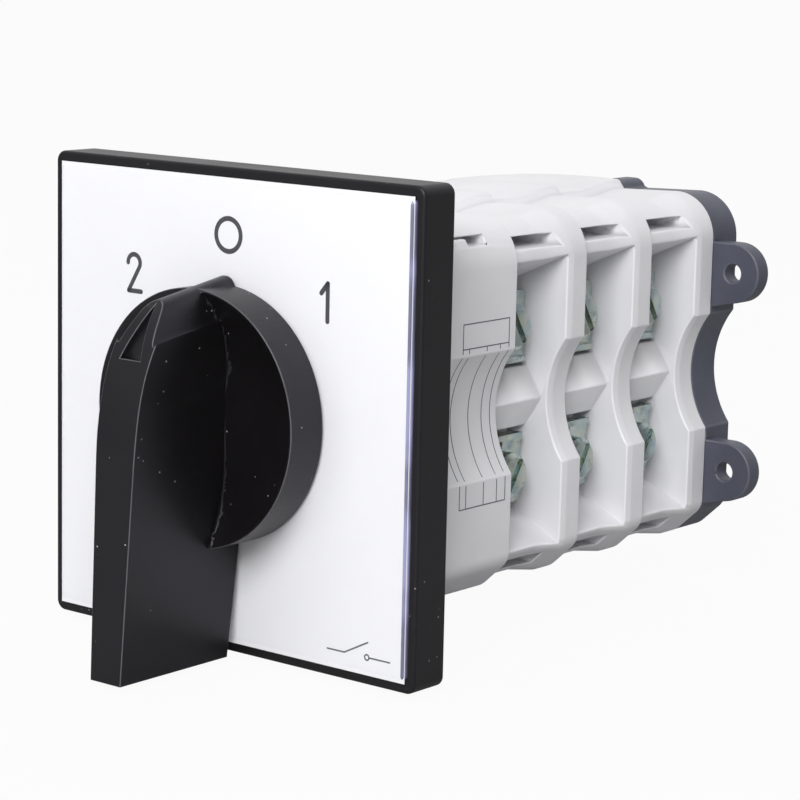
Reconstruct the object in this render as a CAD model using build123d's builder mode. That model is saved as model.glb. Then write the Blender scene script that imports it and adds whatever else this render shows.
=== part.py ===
from build123d import *
import math
import os

os.makedirs("parts", exist_ok=True)

# Manual transfer switch: three cam-operated stages stacked between a rear plate and a
# detent block, with a square escutcheon and a turning handle in front.
# Millimetres. The origin is the centre of the rear mounting face on the shaft's axis,
# +Z is up and the front faces -Y. A "height" is a distance in front of that face.

# Escutcheon
PLATE_SIZE = 90.0
PLATE_CORNER = 2.0
FRAME_DEPTH = 8.4
FRAME_WALL = 3.0
FRAME_FLOOR = 1.6
FRAME_EDGE_R = 0.6
RIB = 1.6
SEAL_R = 11.0
SEAL_THICKNESS = 3.2
BORDER_SIDE = 1.6
BORDER_TOP = 2.2
LEGEND_THICKNESS = 0.8
COVER_THICKNESS = 2.4
COVER_PROUD = 0.8
COVER_BEVEL = 0.7
COVER_HOLE_R = 10.5
GASKET_WIDTH = 4.6
FRAME_SCREW_SPACING = 48.0
FRAME_BOSS_R = 5.0
FRAME_SCREW_R = 2.0
FRAME_SCREW_HEAD_R = 3.9
FRAME_SCREW_HEAD = 2.3
FRAME_SCREW_LENGTH = 15.0
SCREW_SLOT = 1.1

# Moulded housing section: the same after half a turn
BODY_WIDTH = 72.4
LOBE_TOP = 36.2
LOBE_R = 9.0
SCOOP_CHORD = 23.6
SCOOP_DEPTH = 4.1
CROWN = 37.5
STEP_X = 13.3
STEP_SLANT = 1.4
STEP_DIP = 0.5
CUT_SIDE = 28.6
CUT_X = 29.8
CUT_LOW = 34.5
CUT_SIDE_R = 4.0
CUT_LOW_R = 5.0
CROWN_BULGE = 1.05
STEP_R = 1.2
PLATE_DROP = 1.6
PLATE_INSET = 0.4

# Stack along the shaft
REAR_PLATE = 8.9
STAGE_PITCH = 22.2
STAGES = 3
FLANGE = 5.9
FLANGE_LAND = 4.3
BAY_RECESS = 1.4
BAY_TAPER = 8.0
FRONT_BLOCK = 30.7

# Rear plate ears
EAR_OUT = 4.8
EAR_Z = 20.5
EAR_R = 6.1
EAR_THICKNESS = 4.0
EAR_HOLE_R = 1.9
EAR_FLARE = 1.4
BEARING_DEPTH = 5.0
LUG_WIDTH = 7.0
LUG_R = 2.5
LUG_TOP = 37.2

# Terminal pockets
POCKET_MOUTH_Z = 28.1
POCKET_SEAT_Z = 22.3
WIRE_REACH = 18.5
RIDGE_X = 30.7
RIDGE_HALF = 5.9
PLATE_FACE_X = 26.9
CLAMP_THICKNESS = 1.6
CLAMP_WIDTH = 14.0
CLAMP_LOW = 6.9
CLAMP_TOP = 20.6
CLAMP_LIP = 1.1
TERMINAL_Z = 14.2
TERMINAL_R = 2.5
TERMINAL_HEAD_R = 4.3
TERMINAL_HEAD = 3.2
WASHER_R = 4.7
WASHER_THICKNESS = 0.9
TERMINAL_REACH = 18.5
DRIVER_SLOT = 1.4
DRIVER_DEPTH = 1.5
HEAD_CHAMFER = 0.8
DRIVER_TURN = 32.0
KEY_HOLE_R = 1.0
KEY_HOLE_Z = 8.9
CONTACT_BAR = 2.0
CONTACT_BAR_WIDTH = 12.0
BAR_SETBACK = 1.0

# Corner slots
SLOT_LOW = 29.8
SLOT_HEIGHT = 2.3
SLOT_INNER_X = 25.0
SLOT_RAMP = 2.6

# Contacts and plungers
ARM_LOW = 18.4
ARM_THICKNESS = 1.6
ARM_WIDTH = 9.0
TIP_X = 11.5
TIP_R = 2.3
TIP_THICKNESS = 1.0
BRIDGE_THICKNESS = 1.5
BRIDGE_WIDTH = 8.0
CLOSED_GAP = 0.1
PLUNGER_HALF = 4.5
PLUNGER_NOSE_R = 3.0
PLUNGER_CAP = 3.2
PLUNGER_DEPTH = 15.0
SPRING_ROOM = 4.6
LEAF = 0.4
LEAF_GAP = 0.05

# Cams
CAM_R = 13.0
CAM_LIFT = 2.2
CAM_THICKNESS = 12.0
CAM_GAP = 0.35
CAM_HUB_R = 7.6
CAM_STEP = 10
CAM_LEAD = 6.0
THROW = 45.0

# Shaft and detent
SHAFT_SIDE = 9.0
SHAFT_FIT = 0.05
SHAFT_END_GAP = 0.5
JOURNAL_R = 4.4
SOCKET_DEPTH = 2.4
HUB_R = 8.0
RUNNING_FIT = 0.06
WHEEL_R = 15.0
WHEEL_THICKNESS = 12.0
VALLEYS = 8
VALLEY_R = 3.4
VALLEY_DEPTH = 1.5
STOP_THICKNESS = 5.0
STOP_HUB_R = 10.0
STOP_REACH = 15.0
STOP_HALF_ANGLE = 12.0
STOP_SLACK = 1.0
DETENT_COVER = 2.0
DETENT_NOSE_R = 3.0
DETENT_GAP = 0.3
DETENT_LENGTH = 9.0
DETENT_HALF = 5.0
DETENT_SPRING = 4.0

# Tie bolts
TIE_X = 20.5
TIE_Z = 28.0
TIE_R = 2.0
TIE_HEAD_R = 3.8
TIE_HEAD = 3.0
TIE_SINK = 4.2
INSERT_R = 3.3
INSERT_LENGTH = 9.0
LATCH_LOW = 31.6
LATCH_HEIGHT = 1.8
LATCH_INNER_X = 27.0
LATCH_BACK = 6.6
LATCH_FRONT = 5.6
LATCH_RAMP = 1.5
LATCH_TAB = 13.0
LATCH_TAB_GAP = 0.4

# Handle
HANDLE_CLEARANCE = 0.2
DISC_R = 23.8
DISC_DEPTH = 8.5
RIM_LAND = 0.3
DISH_DEPTH = 3.6
DISH_R = 9.0
BLADE_TOP = 25.4
BLADE_BOTTOM = 45.0
BLADE_HALF = 4.8
BLADE_HALF_LOW = 3.6
BLADE_REACH = 30.4
BLADE_LEAN = 2.0
BROW_Z = -8.0
BOW_SETBACK = 5.6
BOW_Z = 12.0
CREST_REACH = 8.9
CREST_DROP = 2.9
CREST_SLOPE = 0.9
SHOULDER_HALF = 2.6
SHOULDER_DROP = 2.0
WAIST_HALF = 3.9
WAIST_DROP = 5.7
WIDEST_Z = 4.6
POINTER_TIP = 21.8
POINTER_BASE = 12.6
POINTER_HALF = 2.5
POINTER_DEPTH = 1.2
HEEL_LIFT = 2.4
HANDLE_WALL = 2.2
CLIP = 0.7
CLIP_WIDTH = 6.0
SIDE_CLEARANCE = 0.3
WALL_CLEARANCE = 0.15

# Heights worked out from the stack
FIRST_STAGE = REAR_PLATE
BLOCK_BACK = REAR_PLATE + STAGES * STAGE_PITCH
BLOCK_FRONT = BLOCK_BACK + FRONT_BLOCK
FRAME_FRONT = BLOCK_FRONT + FRAME_DEPTH
COVER_FRONT = FRAME_FRONT + COVER_PROUD
LEGEND_BACK = COVER_FRONT - COVER_THICKNESS - LEGEND_THICKNESS
HANDLE_BACK = COVER_FRONT + HANDLE_CLEARANCE
DISC_FRONT = HANDLE_BACK + DISC_DEPTH
HUB_END = BLOCK_FRONT + SIDE_CLEARANCE
SQUARE_BORE = SHAFT_SIDE + 2 * SHAFT_FIT
BAY_DEPTH = STAGE_PITCH - FLANGE
SIDE_X = BODY_WIDTH / 2
EAR_X = SIDE_X + EAR_OUT


def front(height):
    """Sketch plane that faces the front, at this height above the mounting face."""
    return Plane.XZ.offset(height)


def save(piece, label):
    """Labels a finished piece and writes it as its own STEP file."""
    piece.part.label = label
    export_step(piece.part, f"parts/{label}.step")


def half_turn(point):
    """The point's place after half a turn about the shaft's axis."""
    return (-point[0], -point[1])


def housing_section(crown, top):
    """Section of the moulded housing: lobes, side scoops, cut corners and stepped crowns."""
    crown_end = (STEP_X - STEP_SLANT / 2, crown)
    step_foot = (STEP_X + STEP_SLANT / 2, top - STEP_DIP)
    lobe_top = (SIDE_X - LOBE_R, top)
    middle = (lobe_top[0], top - LOBE_R)
    lobe_side = (SIDE_X, middle[1])
    scoop_top = (SIDE_X, SCOOP_CHORD / 2)
    scoop_bottom = (SIDE_X - SCOOP_DEPTH, 0)
    scoop_low = (SIDE_X, -SCOOP_CHORD / 2)
    cut_side = (SIDE_X, -CUT_SIDE)
    cut_low = (CUT_X, -CUT_LOW)
    crown_mid = ((CUT_X - crown_end[0]) / 2, -(crown + CUT_LOW) / 2 - CROWN_BULGE)
    with BuildSketch() as section:
        with BuildLine():
            for turned in (lambda point: point, half_turn):
                Polyline(turned(crown_end), turned(step_foot), turned(lobe_top))
                RadiusArc(turned(lobe_top), turned(lobe_side), LOBE_R)
                Line(turned(lobe_side), turned(scoop_top))
                ThreePointArc(turned(scoop_top), turned(scoop_bottom), turned(scoop_low))
                Polyline(turned(scoop_low), turned(cut_side), turned(cut_low))
                ThreePointArc(turned(cut_low), turned(crown_mid), half_turn(turned(crown_end)))
        make_face()
        for place, radius in ((cut_side, CUT_SIDE_R), (cut_low, CUT_LOW_R), (crown_end, STEP_R)):
            for point in (place, half_turn(place)):
                fillet(section.vertices().sort_by_distance((*point, 0))[0], radius)
    return section.sketch


def pocket_section():
    """Funnel of one terminal pocket, upper right: sloped roof, flat seat and ridge flank."""
    with BuildSketch() as section:
        with BuildLine():
            Polyline(
                (RIDGE_X, 0),
                (PLATE_FACE_X, RIDGE_HALF),
                (BAR_X, RIDGE_HALF),
                (BAR_X, POCKET_SEAT_Z),
                (SIDE_X, POCKET_MOUTH_Z),
                (BODY_WIDTH, POCKET_MOUTH_Z),
                (BODY_WIDTH, 0),
                close=True,
            )
        make_face()
    return section.sketch


BAR_X = PLATE_FACE_X - CLAMP_THICKNESS - CONTACT_BAR
HOUSING = housing_section(CROWN, LOBE_TOP)
PLATE_SECTION = housing_section(CROWN - PLATE_DROP, LOBE_TOP - PLATE_INSET)
BAY = offset(HOUSING, amount=-BAY_RECESS, kind=Kind.INTERSECTION)
POCKET = pocket_section()
TIES = [(x, z) for x in (-TIE_X, TIE_X) for z in (-TIE_Z, TIE_Z)]
QUARTERS = [(x, z) for x in (1, -1) for z in (1, -1)]


def quarter_copies():
    """Repeats what the part holds so far in the other three quarters round the shaft."""
    mirror(about=Plane.YZ)
    mirror(about=Plane.XY)


# Heights of the mechanism inside one stage, measured along Z from the shaft's axis
CAM_TOP = CAM_R + CAM_GAP
ARM_TOP = ARM_LOW + ARM_THICKNESS
BRIDGE_LOW = ARM_TOP + 2 * TIP_THICKNESS + CLOSED_GAP + CAM_LIFT
BRIDGE_TOP = BRIDGE_LOW + BRIDGE_THICKNESS
PLUNGER_TOP = BRIDGE_TOP + PLUNGER_CAP
CHANNEL_TOP = PLUNGER_TOP + SPRING_ROOM
BRIDGE_HALF = TIP_X + TIP_R + WALL_CLEARANCE


def cam_radius(angle):
    """Cam radius at a polar angle in degrees: it falls by the lift per throw across the
    upper half, rises again across the lower half, and is round on the two sides."""
    from_right = abs((angle + 180) % 360 - 180)
    swing = THROW + CAM_LEAD
    return CAM_R - CAM_LIFT / THROW * max(-swing, min(swing, from_right - 90))


# ---------------------------------------------------------------- escutcheon

with BuildPart() as front_frame:
    with BuildSketch(front(BLOCK_FRONT)):
        RectangleRounded(PLATE_SIZE, PLATE_SIZE, PLATE_CORNER)
    extrude(amount=FRAME_DEPTH)
    fillet(front_frame.faces().sort_by(Axis.Y)[0].edges(), FRAME_EDGE_R)
    with BuildSketch(front(LEGEND_BACK)):
        RectangleRounded(PLATE_SIZE - 2 * BORDER_SIDE, PLATE_SIZE - 2 * BORDER_TOP, 1)
    extrude(amount=FRAME_FRONT - LEGEND_BACK, mode=Mode.SUBTRACT)
    hollow = LEGEND_BACK - FRAME_FLOOR - BLOCK_FRONT
    with BuildSketch(front(BLOCK_FRONT)) as hollow_back:
        RectangleRounded(PLATE_SIZE - 2 * FRAME_WALL, PLATE_SIZE - 2 * FRAME_WALL, 1)
        with GridLocations(FRAME_SCREW_SPACING, FRAME_SCREW_SPACING, 2, 2):
            Circle(FRAME_BOSS_R, mode=Mode.SUBTRACT)
        Circle(SEAL_R + RIB, mode=Mode.SUBTRACT)
        inner = PLATE_SIZE - 2 * FRAME_WALL - 2 * GASKET_WIDTH
        for turn in (0, 90):
            for side in (-1, 1):
                with Locations(Location((0, 0, 0), (0, 0, turn))):
                    with Locations((0, side * FRAME_SCREW_SPACING / 2)):
                        Rectangle(inner, RIB, mode=Mode.SUBTRACT)
    extrude(amount=hollow, mode=Mode.SUBTRACT)
    with BuildSketch(front(BLOCK_FRONT)):
        Circle(SEAL_R)
    extrude(amount=hollow, mode=Mode.SUBTRACT)
    with BuildSketch(front(BLOCK_FRONT)):
        Circle(HUB_R + SIDE_CLEARANCE)
    extrude(amount=FRAME_DEPTH, mode=Mode.SUBTRACT)
    with Locations(front(LEGEND_BACK)):
        with GridLocations(FRAME_SCREW_SPACING, FRAME_SCREW_SPACING, 2, 2):
            CounterBoreHole(
                FRAME_SCREW_R + WALL_CLEARANCE,
                FRAME_SCREW_HEAD_R + WALL_CLEARANCE,
                FRAME_SCREW_HEAD,
            )
save(front_frame, "front_frame")

with BuildPart() as panel_gasket:
    with BuildSketch(front(BLOCK_FRONT)):
        outer = PLATE_SIZE - 2 * FRAME_WALL - 2 * WALL_CLEARANCE
        RectangleRounded(outer, outer, 1)
        bore = PLATE_SIZE - 2 * FRAME_WALL - 2 * GASKET_WIDTH + 2 * WALL_CLEARANCE
        RectangleRounded(bore, bore, 1, mode=Mode.SUBTRACT)
    extrude(amount=hollow)
save(panel_gasket, "panel_gasket")

with BuildPart() as shaft_seal:
    with BuildSketch(front(LEGEND_BACK - FRAME_FLOOR)):
        Circle(SEAL_R - RUNNING_FIT)
        Circle(HUB_R + RUNNING_FIT, mode=Mode.SUBTRACT)
    extrude(amount=-SEAL_THICKNESS)
save(shaft_seal, "shaft_seal")

with BuildPart() as legend_plate:
    with BuildSketch(front(LEGEND_BACK)):
        width = PLATE_SIZE - 2 * BORDER_SIDE - 2 * WALL_CLEARANCE
        height = PLATE_SIZE - 2 * BORDER_TOP - 2 * WALL_CLEARANCE
        RectangleRounded(width, height, 1)
        Circle(COVER_HOLE_R, mode=Mode.SUBTRACT)
    extrude(amount=LEGEND_THICKNESS)
save(legend_plate, "legend_plate")

with BuildPart() as front_cover:
    with BuildSketch(front(LEGEND_BACK + LEGEND_THICKNESS)):
        RectangleRounded(width, height, 1)
    extrude(amount=COVER_THICKNESS)
    chamfer(front_cover.faces().sort_by(Axis.Y)[0].edges(), COVER_BEVEL)
    with BuildSketch(front(LEGEND_BACK + LEGEND_THICKNESS)):
        Circle(COVER_HOLE_R)
    extrude(amount=COVER_THICKNESS, mode=Mode.SUBTRACT)
save(front_cover, "front_cover")

with BuildPart() as frame_screws:
    with GridLocations(FRAME_SCREW_SPACING, FRAME_SCREW_SPACING, 2, 2) as places:
        spots = [(place.position.X, place.position.Y) for place in places.locations]
    with BuildSketch(front(LEGEND_BACK - FRAME_SCREW_LENGTH)):
        with Locations(*spots):
            Circle(FRAME_SCREW_R)
    extrude(amount=FRAME_SCREW_LENGTH - FRAME_SCREW_HEAD)
    with BuildSketch(front(LEGEND_BACK - FRAME_SCREW_HEAD)):
        with Locations(*spots):
            Circle(FRAME_SCREW_HEAD_R)
    extrude(amount=FRAME_SCREW_HEAD)
    with BuildSketch(front(LEGEND_BACK)):
        with Locations(*spots):
            Rectangle(2 * FRAME_SCREW_HEAD_R, SCREW_SLOT)
    extrude(amount=-SCREW_SLOT, mode=Mode.SUBTRACT)
save(frame_screws, "frame_screws")

# -------------------------------------------------------------------- handle

def blade_side(shift):
    """Solid with the blade's side profile, moved back along the shaft by a shift."""
    back = shift - HANDLE_BACK
    reach = back - BLADE_REACH
    brow = (reach + BLADE_LEAN, BROW_Z)
    bow = (reach + BOW_SETBACK, BOW_Z)
    crest = (back - DISC_DEPTH - CREST_REACH, BLADE_TOP - CREST_DROP)
    foot = (reach, -BLADE_BOTTOM)
    lean = (BLADE_LEAN, BLADE_BOTTOM + BROW_Z)
    with BuildPart() as solid:
        with BuildSketch(Plane.YZ):
            with BuildLine():
                Line(foot, brow)
                Spline(brow, bow, crest, tangents=(lean, (1, CREST_SLOPE)))
                Polyline(
                    crest,
                    (crest[0] + CREST_DROP, crest[1] + CREST_DROP * CREST_SLOPE),
                    (back, BLADE_TOP + CREST_DROP),
                    (back, -DISC_R),
                    (back - HEEL_LIFT, -BLADE_BOTTOM),
                    foot,
                )
            make_face()
        extrude(amount=BLADE_HALF + SIDE_CLEARANCE, both=True)
    return solid.part


with BuildPart() as pointer_cut:
    with BuildSketch(front(DISC_FRONT)):
        Polygon(
            (0, POINTER_TIP),
            (-POINTER_HALF, POINTER_BASE),
            (POINTER_HALF, POINTER_BASE),
            align=None,
        )
    extrude(amount=BLADE_REACH)
    add(blade_side(POINTER_DEPTH), mode=Mode.SUBTRACT)

with BuildPart() as handle:
    # Blade: an arched outline drawn forward along the falling ridge, cut to its side profile
    fall = CREST_DROP / (DISC_DEPTH + CREST_REACH)
    with BuildSketch(front(HANDLE_BACK)):
        with BuildLine():
            for side in (1, -1):
                widest = (side * BLADE_HALF, WIDEST_Z)
                Spline(
                    (0, BLADE_TOP),
                    (side * SHOULDER_HALF, BLADE_TOP - SHOULDER_DROP),
                    (side * WAIST_HALF, BLADE_TOP - WAIST_DROP),
                    widest,
                    tangents=((side, 0), (0, -1)),
                )
                Polyline(widest, (side * BLADE_HALF_LOW, -BLADE_BOTTOM), (0, -BLADE_BOTTOM))
        make_face()
    extrude(amount=(BLADE_REACH + BLADE_LEAN) * math.hypot(1, fall), dir=(0, -1, -fall))
    add(blade_side(0), mode=Mode.INTERSECT)
    add(pointer_cut.part, mode=Mode.SUBTRACT)
    # Disc with a raised rim and a dished front, turned about the shaft's axis
    with BuildSketch(Plane.YZ):
        floor = DISH_DEPTH - DISC_FRONT
        land = (-DISC_FRONT, DISC_R - RIM_LAND)
        dish = (floor, DISH_R)
        bend = (floor - DISH_DEPTH / 5, (DISC_R + DISH_R) / 2 - RIM_LAND)
        with BuildLine():
            Polyline(
                dish,
                (floor, 0),
                (-HANDLE_BACK, 0),
                (-HANDLE_BACK, DISC_R),
                (-DISC_FRONT, DISC_R),
                land,
            )
            ThreePointArc(land, bend, dish)
        make_face()
    revolve(axis=Axis.Y)
    # Ribbed hollow back, with a hub that reaches through the escutcheon
    with BuildSketch(front(HANDLE_BACK)):
        Circle(DISC_R - HANDLE_WALL)
        Circle(HUB_R + HANDLE_WALL, mode=Mode.SUBTRACT)
        for turn in range(0, 180, 45):
            with Locations(Location((0, 0, 0), (0, 0, turn))):
                Rectangle(2 * DISC_R, RIB, mode=Mode.SUBTRACT)
    extrude(amount=DISC_DEPTH - DISH_DEPTH - HANDLE_WALL, mode=Mode.SUBTRACT)
    with BuildSketch(front(HUB_END)):
        Circle(HUB_R)
    extrude(amount=HANDLE_BACK - HUB_END)
    with BuildSketch(front(HUB_END)):
        Rectangle(SQUARE_BORE, SQUARE_BORE)
    extrude(amount=HANDLE_BACK + SOCKET_DEPTH - HUB_END, mode=Mode.SUBTRACT)
    with BuildSketch(front(HUB_END)):
        with Locations((SQUARE_BORE / 2 + CLIP / 2, 0)):
            Rectangle(CLIP, CLIP_WIDTH)
    extrude(amount=HANDLE_BACK + SOCKET_DEPTH - HUB_END, mode=Mode.SUBTRACT)
save(handle, "handle")

with BuildPart() as handle_clip:
    with BuildSketch(front(HUB_END + SHAFT_END_GAP)):
        with Locations((SQUARE_BORE / 2 + CLIP / 2, 0)):
            Rectangle(CLIP - SHAFT_FIT, CLIP_WIDTH - 2 * SHAFT_FIT)
    extrude(amount=HANDLE_BACK + SOCKET_DEPTH - HUB_END - 2 * SHAFT_END_GAP)
save(handle_clip, "handle_clip")

# --------------------------------------------------------- shaft and detent

with BuildPart() as shaft:
    with BuildSketch(front(REAR_PLATE + SIDE_CLEARANCE)):
        Rectangle(SHAFT_SIDE, SHAFT_SIDE)
    extrude(amount=HANDLE_BACK + SOCKET_DEPTH - SHAFT_END_GAP - REAR_PLATE - SIDE_CLEARANCE)
    with BuildSketch(front(REAR_PLATE - BEARING_DEPTH + SHAFT_END_GAP)):
        Circle(JOURNAL_R)
    extrude(amount=BEARING_DEPTH - SHAFT_END_GAP + SIDE_CLEARANCE)
save(shaft, "shaft")

WHEEL_BACK = BLOCK_BACK + DETENT_COVER + SIDE_CLEARANCE
STOP_BACK = WHEEL_BACK + WHEEL_THICKNESS
CHAMBER_FRONT = STOP_BACK + STOP_THICKNESS + SIDE_CLEARANCE
DETENT_NOSE = WHEEL_R + DETENT_GAP
DETENT_TOP = DETENT_NOSE + DETENT_NOSE_R + DETENT_LENGTH
DETENT_CHANNEL = DETENT_TOP + DETENT_SPRING


def sectors(radius, half_angle):
    """Two opposite sectors, to the right and the left of the shaft."""
    with BuildSketch() as pair:
        for middle in (0, 180):
            low = math.radians(middle - half_angle)
            high = math.radians(middle + half_angle)
            start = (radius * math.cos(low), radius * math.sin(low))
            end = (radius * math.cos(high), radius * math.sin(high))
            with BuildLine():
                Line((0, 0), start)
                ThreePointArc(start, (radius * math.cos(math.radians(middle)), 0), end)
                Line(end, (0, 0))
            make_face()
    return pair.sketch


with BuildPart() as front_block:
    with BuildSketch(front(BLOCK_BACK)):
        add(HOUSING)
    extrude(amount=FRONT_BLOCK)
    # Recess of the chamber's cover, chamber of the wheel, sectors of the stops, hub bore
    with BuildSketch(front(BLOCK_BACK)):
        Circle(WHEEL_R + DETENT_NOSE_R)
        Rectangle(2 * (DETENT_HALF + RIB), 2 * (DETENT_CHANNEL + RIB))
    extrude(amount=DETENT_COVER, mode=Mode.SUBTRACT)
    with BuildSketch(front(BLOCK_BACK)):
        Circle(WHEEL_R + 1)
        Rectangle(2 * (DETENT_HALF + WALL_CLEARANCE), 2 * DETENT_CHANNEL)
    extrude(amount=STOP_BACK + SIDE_CLEARANCE - BLOCK_BACK, mode=Mode.SUBTRACT)
    with BuildSketch(front(BLOCK_BACK)):
        Circle(STOP_HUB_R + SIDE_CLEARANCE)
        add(sectors(STOP_REACH + SIDE_CLEARANCE, STOP_HALF_ANGLE + THROW + STOP_SLACK))
    extrude(amount=CHAMBER_FRONT - BLOCK_BACK, mode=Mode.SUBTRACT)
    with BuildSketch(front(BLOCK_BACK)):
        Circle(HUB_R + RUNNING_FIT)
    extrude(amount=FRONT_BLOCK, mode=Mode.SUBTRACT)
    # Latch slots on two corners, each with the tab of the latch in its front end
    slot_back = -BLOCK_BACK - LATCH_BACK
    tab_back = -BLOCK_FRONT + LATCH_FRONT + LATCH_TAB
    for side, low in ((1, LATCH_LOW), (-1, -LATCH_LOW - LATCH_HEIGHT)):
        with BuildSketch(Plane.XY.offset(low)):
            Polygon(
                (side * LATCH_INNER_X, tab_back),
                (side * LATCH_INNER_X, slot_back - LATCH_RAMP),
                (side * (SIDE_X - LATCH_RAMP), slot_back - LATCH_RAMP),
                (side * SIDE_X, slot_back),
                (side * BODY_WIDTH, slot_back),
                (side * BODY_WIDTH, tab_back - LATCH_RAMP),
                (side * SIDE_X, tab_back - LATCH_RAMP),
                align=None,
            )
        extrude(amount=LATCH_HEIGHT, mode=Mode.SUBTRACT)
        gap_low = side * (LATCH_LOW + LATCH_HEIGHT - LATCH_TAB_GAP / 2) - LATCH_TAB_GAP / 2
        with BuildSketch(Plane.XY.offset(gap_low)):
            Polygon(
                (side * LATCH_INNER_X, tab_back),
                (side * LATCH_INNER_X, tab_back - LATCH_TAB),
                (side * BODY_WIDTH, tab_back - LATCH_TAB),
                (side * BODY_WIDTH, tab_back),
                align=None,
            )
        extrude(amount=LATCH_TAB_GAP, mode=Mode.SUBTRACT)
    with BuildSketch(front(BLOCK_BACK)):
        with Locations(*TIES):
            Circle(INSERT_R)
    extrude(amount=INSERT_LENGTH + 1, mode=Mode.SUBTRACT)
    with BuildSketch(front(BLOCK_FRONT)):
        with Locations(*spots):
            Circle(FRAME_SCREW_R + SHAFT_FIT)
    extrude(amount=LEGEND_BACK - FRAME_SCREW_LENGTH - BLOCK_FRONT - 1, mode=Mode.SUBTRACT)
save(front_block, "front_block")

with BuildPart() as detent_cover:
    with BuildSketch(front(BLOCK_BACK)):
        Circle(WHEEL_R + DETENT_NOSE_R - WALL_CLEARANCE)
        width = 2 * (DETENT_HALF + RIB - WALL_CLEARANCE)
        Rectangle(width, 2 * (DETENT_CHANNEL + RIB - WALL_CLEARANCE))
        Circle(CAM_HUB_R + SIDE_CLEARANCE, mode=Mode.SUBTRACT)
    extrude(amount=DETENT_COVER)
save(detent_cover, "detent_cover")

with BuildPart() as detent_wheel:
    with BuildSketch(front(WHEEL_BACK)):
        Circle(WHEEL_R)
        with PolarLocations(WHEEL_R - VALLEY_DEPTH + VALLEY_R, VALLEYS):
            Circle(VALLEY_R, mode=Mode.SUBTRACT)
        Rectangle(SQUARE_BORE, SQUARE_BORE, mode=Mode.SUBTRACT)
    extrude(amount=WHEEL_THICKNESS)
save(detent_wheel, "detent_wheel")

with BuildPart() as stop_disc:
    with BuildSketch(front(STOP_BACK)):
        Circle(STOP_HUB_R)
        add(sectors(STOP_REACH, STOP_HALF_ANGLE))
    extrude(amount=STOP_THICKNESS)
    with BuildSketch(front(STOP_BACK)):
        Circle(HUB_R)
    extrude(amount=BLOCK_FRONT - WALL_CLEARANCE - STOP_BACK)
    with BuildSketch(front(STOP_BACK)):
        Rectangle(SQUARE_BORE, SQUARE_BORE)
    extrude(amount=FRONT_BLOCK, mode=Mode.SUBTRACT)
save(stop_disc, "stop_disc")


def leaf_spring(low, high, half, side, back, depth):
    """Bowed leaf spring: its feet stand at the low height, its crown reaches the high one."""
    with BuildPart() as leaf:
        with BuildSketch(front(back)):
            with BuildLine():
                outer = [(-half, side * low), (0, side * high), (half, side * low)]
                inner = [(-half + LEAF, side * low), (0, side * (high - LEAF)), (half - LEAF, side * low)]
                ThreePointArc(*outer)
                ThreePointArc(*inner)
                Line(outer[0], inner[0])
                Line(outer[2], inner[2])
            make_face()
        extrude(amount=depth)
    return leaf


for end, side in (("top", 1), ("bottom", -1)):
    with BuildPart() as detent_plunger:
        with BuildSketch(front(WHEEL_BACK)):
            with Locations((0, side * (DETENT_NOSE + DETENT_NOSE_R))):
                Circle(DETENT_NOSE_R)
            with Locations((0, side * (DETENT_TOP - DETENT_LENGTH / 2))):
                Rectangle(2 * DETENT_HALF, DETENT_LENGTH)
        extrude(amount=WHEEL_THICKNESS - SIDE_CLEARANCE)
    save(detent_plunger, f"detent_plunger_{end}")
    detent_spring = leaf_spring(
        DETENT_TOP + LEAF_GAP,
        DETENT_CHANNEL - LEAF_GAP,
        DETENT_HALF - WALL_CLEARANCE,
        side,
        WHEEL_BACK + 1,
        WHEEL_THICKNESS - 2,
    )
    save(detent_spring, f"detent_spring_{end}")

# -------------------------------------------------------------------- stages


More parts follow.
